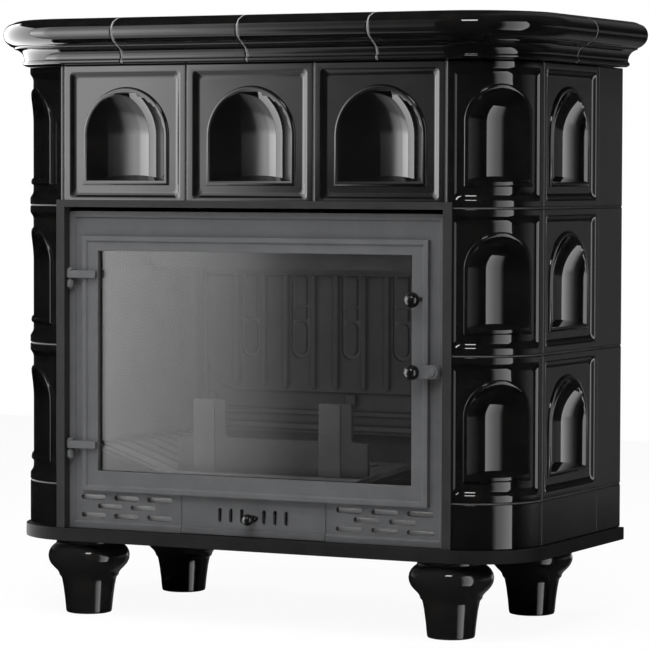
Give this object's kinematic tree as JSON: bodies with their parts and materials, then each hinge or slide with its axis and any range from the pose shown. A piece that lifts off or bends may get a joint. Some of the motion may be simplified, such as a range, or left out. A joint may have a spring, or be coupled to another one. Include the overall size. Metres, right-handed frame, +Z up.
{
  "type": "tiled stove",
  "caption": "Black glazed tiled wood stove with a cast-iron insert, hinged glass door, turning latch, ash drawer, air slide and four turned feet.",
  "frame": {"origin": "bottom centre of the bounding box, on the floor", "axes": "+X to the viewer's right across the front, +Y from the front to the back, +Z up; the door faces -Y"},
  "size_m": [0.9756, 0.4778, 0.949],
  "materials": {
    "glaze_tiles": "deep gloss black glaze",
    "glaze_cornice": "deep gloss black glaze",
    "glaze_feet": "deep gloss black glaze",
    "front_iron": "matte grey stove paint over fine cast texture",
    "dark_steel": "matte black stove paint",
    "inner_steel": "matte dark grey",
    "hearth_iron": "rough unpainted casting, lightly sooted",
    "knob_black": "polished black ball knobs",
    "pane": "clear ceramic glass with a faint grey tint"
  },
  "bodies": {
    "stove": {"foot_front_left": "glaze_feet", "foot_front_right": "glaze_feet", "foot_rear_left": "glaze_feet", "foot_rear_right": "glaze_feet", "base_plate": "dark_steel", "front_tile_left": "glaze_tiles", "front_tile_centre": "glaze_tiles", "front_tile_right": "glaze_tiles", "corner_tile_left_bottom": "glaze_tiles", "corner_tile_left_middle": "glaze_tiles", "corner_tile_left_top": "glaze_tiles", "corner_tile_right_bottom": "glaze_tiles", "corner_tile_right_middle": "glaze_tiles", "corner_tile_right_top": "glaze_tiles", "side_tile_left_bottom": "glaze_tiles", "side_tile_left_middle": "glaze_tiles", "side_tile_left_top": "glaze_tiles", "side_tile_right_bottom": "glaze_tiles", "side_tile_right_middle": "glaze_tiles", "side_tile_right_top": "glaze_tiles", "side_strip_left_bottom": "glaze_tiles", "side_strip_left_middle": "glaze_tiles", "side_strip_left_top": "glaze_tiles", "side_strip_right_bottom": "glaze_tiles", "side_strip_right_middle": "glaze_tiles", "side_strip_right_top": "glaze_tiles", "plinth_corner_left": "glaze_tiles", "plinth_corner_right": "glaze_tiles", "plinth_side_left": "glaze_tiles", "plinth_side_right": "glaze_tiles", "plinth_strip_left": "glaze_tiles", "plinth_strip_right": "glaze_tiles", "cornice_front_left": "glaze_cornice", "cornice_front_right": "glaze_cornice", "cornice_corner_left": "glaze_cornice", "cornice_corner_right": "glaze_cornice", "cornice_side_left": "glaze_cornice", "cornice_side_right": "glaze_cornice", "steel_casing": "inner_steel", "top_plate": "dark_steel", "surround": "dark_steel", "front_frame": "front_iron", "hinge_pin_upper": "front_iron", "hinge_pin_lower": "front_iron", "fire_box": "inner_steel", "hearth": "hearth_iron", "grate": "hearth_iron", "log_guard": "hearth_iron", "side_lining_left": "hearth_iron", "side_lining_right": "hearth_iron", "fireback": "hearth_iron", "baffle": "hearth_iron"},
    "door": {"door_frame": "front_iron", "door_glass": "pane", "door_knob": "knob_black", "latch_screw": "front_iron"},
    "latch": {"latch_lever": "front_iron", "latch_knob": "knob_black"},
    "drawer": {"ash_drawer": "front_iron"},
    "air_control": {"air_slide": "front_iron"}
  },
  "joints": [
    {"name": "door_hinge", "type": "hinge", "parent": "stove", "child": "door", "pos_m": [-0.3235, -0.191, 0.4], "axis": [0, 0, -1], "range_deg": [0, 90]},
    {"name": "latch_pivot", "type": "hinge", "parent": "door", "child": "latch", "pos_m": [0.3145, -0.2, 0.4072], "axis": [0, 1, 0], "range_deg": [0, 70]},
    {"name": "drawer_slide", "type": "slide", "parent": "stove", "child": "drawer", "axis": [0, -1, 0], "range_m": [0, 0.25]},
    {"name": "air_slide_travel", "type": "slide", "parent": "drawer", "child": "air_control", "axis": [1, 0, 0], "range_m": [-0.005, 0.005]}
  ]
}
